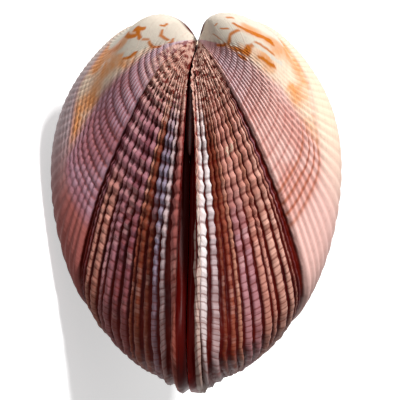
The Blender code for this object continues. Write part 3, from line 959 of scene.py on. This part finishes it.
def flank_ground(tree, skin):
    """Flank before its ribs are shaded, and where it is amber and ivory.

    It is rosy near the groove, amber further on, then cream, with an ivory umbo.
    """
    path, age, look, cloud = skin.path, skin.age, skin.look, skin.cloud
    pause = age + (cloud - 0.5) * 0.02
    stripes = sum((pause.near(at, half) for at, half in STRIPES[1:]), pause.near(*STRIPES[0]))
    stripes = stripes.math("MINIMUM", 1.0) * path.fade(0.6, 0.66)
    ragged = (cloud - 0.5) * 0.03
    amber_edge, ivory_edge = age.track(ROSY_TRACK), age * 0.3 + 0.575
    amber = (path + ragged).smooth(amber_edge - 0.016, amber_edge + 0.016) * age.fade(0.68, 0.76)
    ivory = (path + ragged).smooth(ivory_edge - 0.006, ivory_edge + 0.006) * age.fade(0.68, 0.8)
    late = blend(tree, path.smooth(0.56, 0.66), look.late, look.far)
    late = blend(tree, path.smooth(0.7, 0.82) * look.far_cream, late, "cream")
    flank = paint(
        tree, blend(tree, skin.growth.smooth(0.12, 0.42), "pale_lilac", look.near),
        (cloud.smooth(0.4, 0.62) * 0.5, look.cloud),
        (stripes * look.stripes, look.stripe),
        (amber * look.amber, blend(tree, cloud.smooth(0.38, 0.62), "cream", "peach")),
        ((age + ragged * 0.3).smooth(0.7, 0.75), late),
        (ivory, "ivory"),
        (skin.orange * cloud.smooth(0.1, 0.6) * 0.8, "amber"),
        (skin.brown * 0.9, "ochre"),
    )
    return flank, amber, ivory


def flank_colour(tree, skin):
    """Flank with its furrows, the lattice that the growth lines cut in them, and pale knots."""
    path, age, growth, look = skin.path, skin.age, skin.growth, skin.look
    flank, amber, ivory = flank_ground(tree, skin)
    furrow = flank_wave(path, skin.side) * skin.riblet
    lattice = (1.0 - skin.bead).smooth(0.15, 0.6) * age.fade(0.62, 0.76) * path.fade(0.6, 0.7)
    cut = furrow.smooth(0.5, 0.95) * (0.5 - 0.38 * growth.smooth(0.3, 0.68)) * (1.0 - ivory)
    cut = (cut * (0.55 + 0.9 * skin.cloud)).math("MAXIMUM", lattice * look.lattice * skin.riblet)
    knot = (1.0 - furrow) * skin.bead * growth.fade(0.3, 0.6) * path.fade(0.58, 0.64)
    return paint(
        tree, flank,
        (cut, blend(tree, amber, "brick_rose", "rust")),
        (knot.smooth(0.55, 0.95) * look.knot * growth.smooth(0.1, 0.2), "pale_lilac"),
        (skin.line.smooth(0.5, 0.72) * 0.22, "rose"),
        (skin.white, "ivory"),
    )


def shell_material(side, groups):
    """Skin of a valve: hind area, groove, flank, the dusty first growth, the rim and the inside."""
    material, tree, shader = new_material(side + "_shell_ribbed")
    skin = read_skin(tree, side, groups)
    path, growth, groove, border = skin.path, skin.growth, skin.groove, skin.border
    dust = blend(tree, skin.speckle.smooth(0.39, 0.55), "wine_rose", "chalk")
    trench = path.near(groove, 0.006).smooth(0.2, 0.8) * growth.smooth(0.2, 0.55)
    reach = groove + skin.look.dust
    beak = growth.fade(0.14, 0.28) * path.fade(reach - 0.015, reach)
    base = paint(
        tree, hind_colour(tree, skin, dust),
        (path.smooth(groove, groove + 0.006), flank_colour(tree, skin)),
        (trench * 0.85, "maroon"),
        (beak * path.smooth(border - 0.02, border - 0.005) * 0.8, dust),
        (path.smooth(0.86, 0.92) * growth.fade(0.14, 0.22), "maroon"),
        # Rib ends at the lip of the hind area darkened toward maroon: partly their own colour, partly
        # painted shade
        (growth.smooth(0.955, 0.995) * path.fade(groove - 0.02, groove + 0.02) * 0.35, "maroon"),
        (skin.inner.smooth(0.0, 0.2), "cocoa"),
        (skin.speckle.smooth(0.5, 0.8) * 0.12, "maroon"),
    )
    vivid = add_node(tree, "ShaderNodeHueSaturation", {"Saturation": 1.16, "Color": base})
    tree.links.new(vivid.outputs[0], shader.inputs["Base Color"])
    rough = 0.46 + (skin.speckle - 0.5) * 0.3 - path.fade(border - 0.03, border) * 0.1
    join(tree, rough, shader.inputs["Roughness"])
    shader.inputs["Specular IOR Level"].default_value = 0.07
    join(tree, skin.normal, shader.inputs["Normal"])
    return material


def ligament_material(grain):
    """Horny strip: dark, with folds across it and fibres along it."""
    material, tree, shader = new_material("ligament_horny")
    fold, fibre = attribute(tree, "fold"), attribute(tree, "fibre")
    _, cloud, normal = use_group(tree, grain, {"Size": 0.0002, "Depth": 0.00002, "Lines": fibre})
    base = paint(
        tree, blend(tree, fold.smooth(0.35, 0.65), "horn", "horn_fold"),
        (fibre.smooth(0.5, 0.72) * 0.4, "horn_fibre"),
        (cloud.smooth(0.45, 0.7) * 0.4, "horn_cloud"),
    )
    tree.links.new(base, shader.inputs["Base Color"])
    join(tree, 0.52 - (fold - 0.5) * 0.4, shader.inputs["Roughness"])
    join(tree, normal, shader.inputs["Normal"])
    return material


# ---- Add-on ----


class ShellSettings(bpy.types.PropertyGroup):
    """Sizes and attitude of the shell."""

    reach: bpy.props.FloatProperty(
        name="Reach", description="Beak to hind tip", default=0.0354, unit="LENGTH", subtype="DISTANCE")
    gap: bpy.props.FloatProperty(
        name="Gap", description="Space between the margins of the valves", default=0.0001, unit="LENGTH")
    wall: bpy.props.FloatProperty(
        name="Wall", description="Thickness of a valve", default=0.0018, unit="LENGTH")
    pitch: bpy.props.FloatProperty(
        name="Pitch", description="Turn of the lying shell about its width", default=math.radians(14.0),
        unit="ROTATION")
    roll: bpy.props.FloatProperty(
        name="Roll", description="Turn of the lying shell about its length", default=math.radians(-12.0),
        unit="ROTATION")
    beak: bpy.props.FloatVectorProperty(
        name="Beak", description="Where the hinge line starts, between the beaks",
        default=(-0.01522, -0.00495, 0.01877), unit="LENGTH", subtype="TRANSLATION")


def attitude(settings):
    """The size and place that all the pieces share."""
    return {
        "Reach": settings.reach / MM, "Pitch": settings.pitch, "Roll": settings.roll, "Beak": settings.beak,
    }


class SHELL_OT_valves(bpy.types.Operator):
    """Grow the two valves of the shell"""

    bl_idname = "shell.valves"
    bl_label = "Valves"

    def execute(self, context):
        settings = context.scene.shell
        outline = margin_curve()
        groups = (grain_group(), growth_group())
        for side, sign in (("right", 1.0), ("left", -1.0)):
            drawn = {kind.title() + " Marks": mark_curves(kind, side) for kind in MARKS}
            valve = grown(side + "_valve_shell", valve_tree(side), {
                "Margin": outline, "Material": shell_material(side, groups), "Side": sign,
                "Gap": settings.gap / MM, "Wall": settings.wall / MM, **attitude(settings), **drawn,
            })
            for thing in drawn.values():
                bpy.data.objects.remove(thing)
            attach(valve, "root")
            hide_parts(side + "_valve")
        bpy.data.objects.remove(outline)
        return {"FINISHED"}


class SHELL_OT_ligament(bpy.types.Operator):
    """Grow the ligament in the groove behind the beaks"""

    bl_idname = "shell.ligament"
    bl_label = "Ligament"

    def execute(self, context):
        settings = context.scene.shell
        strip = grown("ligament_strip", ligament_tree(), {
            "Material": ligament_material(bpy.data.node_groups["shell_grain"]), **attitude(settings),
        })
        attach(strip, "root")
        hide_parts("ligament")
        return {"FINISHED"}


def seen_white(tree, unseen, seen):
    """Shader that is one thing where it is looked at, directly or mirrored, and another as a light."""
    rays = tree.nodes.new("ShaderNodeLightPath")
    looked_at = Field(tree, rays.outputs["Is Camera Ray"])
    for kind in ("Is Glossy Ray", "Is Transmission Ray"):
        looked_at = looked_at.math("MAXIMUM", Field(tree, rays.outputs[kind]))
    return add_node(tree, "ShaderNodeMixShader", {0: looked_at, 1: unseen, 2: seen}).outputs[0]


def pale_floor():
    """Wide floor that looks white and keeps the shadow, and throws little light back."""
    mesh = bpy.data.meshes.new("floor")
    mesh.from_pydata([(-3, -3, 0), (3, -3, 0), (3, 3, 0), (-3, 3, 0)], [], [(0, 1, 2, 3)])
    material, tree, _ = new_material("floor_pale")
    tree.nodes.clear()
    plain = add_node(tree, "ShaderNodeBsdfDiffuse", {"Color": (0.3, 0.3, 0.3, 1.0)}).outputs[0]
    lit = add_node(tree, "ShaderNodeBsdfDiffuse", {"Color": (0.8, 0.8, 0.8, 1.0)}).outputs[0]
    glow = add_node(tree, "ShaderNodeEmission", {"Color": (1.0, 1.0, 1.0, 1.0), "Strength": 0.55}).outputs[0]
    looked_at = add_node(tree, "ShaderNodeAddShader", {0: lit, 1: glow}).outputs[0]
    out = tree.nodes.new("ShaderNodeOutputMaterial")
    tree.links.new(seen_white(tree, plain, looked_at), out.inputs["Surface"])
    mesh.materials.append(material)
    return bpy.data.objects.new("floor", mesh)


def pale_world():
    """Surroundings that look white and give a dim even light."""
    world = bpy.data.worlds.new("studio")
    world.use_nodes = True
    tree = world.node_tree
    tree.nodes.clear()
    dim = add_node(tree, "ShaderNodeBackground", {"Color": (1.0, 1.0, 1.0, 1.0), "Strength": WORLD_LIGHT})
    white = add_node(tree, "ShaderNodeBackground", {"Color": (1.0, 1.0, 1.0, 1.0), "Strength": 1.0})
    out = tree.nodes.new("ShaderNodeOutputWorld")
    tree.links.new(seen_white(tree, dim.outputs[0], white.outputs[0]), out.inputs["Surface"])
    return world


def end_on_camera():
    """Camera that looks at the shell's hind end, and its right, up and backward directions."""
    azimuth, elevation, roll = (math.radians(angle) for angle in CAMERA_TURNS)
    back = Vector((math.cos(elevation) * math.cos(azimuth), math.cos(elevation) * math.sin(azimuth),
                   math.sin(elevation)))
    level = Vector((-math.sin(azimuth), math.cos(azimuth), 0.0))
    upright = back.cross(level)
    right = level * math.cos(roll) + upright * math.sin(roll)
    up = upright * math.cos(roll) - level * math.sin(roll)
    data = bpy.data.cameras.new("camera")
    data.sensor_width = 36.0
    data.lens = CAMERA_LENS
    camera = bpy.data.objects.new("camera", data)
    turn = Matrix((right, up, back)).transposed()
    camera.matrix_world = Matrix.Translation(Vector(CAMERA_AIM) + back * CAMERA_AWAY) @ turn.to_4x4()
    return camera, (right, up, back)


class SHELL_OT_stage(bpy.types.Operator):
    """Pale floor, soft lights and the camera"""

    bl_idname = "shell.stage"
    bl_label = "Stage"

    def execute(self, context):
        scene = context.scene
        scene.view_settings.view_transform = "Standard"
        floor = pale_floor()
        context.collection.objects.link(floor)
        scene.world = pale_world()
        camera, axes = end_on_camera()
        context.collection.objects.link(camera)
        scene.camera = camera
        for name, (across, upward, towards), power, size in LAMPS:
            direction = (axes[0] * across + axes[1] * upward + axes[2] * towards).normalized()
            lamp_data = bpy.data.lights.new(name, "AREA")
            lamp_data.energy = power
            lamp_data.size = size
            lamp = bpy.data.objects.new(name, lamp_data)
            context.collection.objects.link(lamp)
            turned = direction.to_track_quat("Z", "Y").to_matrix().to_4x4()
            lamp.matrix_world = Matrix.Translation(Vector(SHELL_MIDDLE) + direction * LAMP_AWAY) @ turned
        return {"FINISHED"}


class SHELL_PT_panel(bpy.types.Panel):
    """Lists the steps that make the shell"""

    bl_idname = "SHELL_PT_panel"
    bl_label = "Venus Clam Shell"
    bl_space_type = "VIEW_3D"
    bl_region_type = "UI"
    bl_category = "Shell"

    def draw(self, context):
        settings = context.scene.shell
        for label in ("reach", "gap", "wall", "pitch", "roll", "beak"):
            self.layout.prop(settings, label)
        for step in STEPS:
            self.layout.operator(step.bl_idname)


STEPS = (SHELL_OT_valves, SHELL_OT_ligament, SHELL_OT_stage)
CLASSES = (ShellSettings,) + STEPS + (SHELL_PT_panel,)


def register():
    for each in CLASSES:
        bpy.utils.register_class(each)
    bpy.types.Scene.shell = bpy.props.PointerProperty(type=ShellSettings)


def unregister():
    del bpy.types.Scene.shell
    for each in reversed(CLASSES):
        bpy.utils.unregister_class(each)


def main():
    register()
    bpy.ops.shell.valves()
    bpy.ops.shell.ligament()
    bpy.ops.shell.stage()


if __name__ == "__main__":
    main()
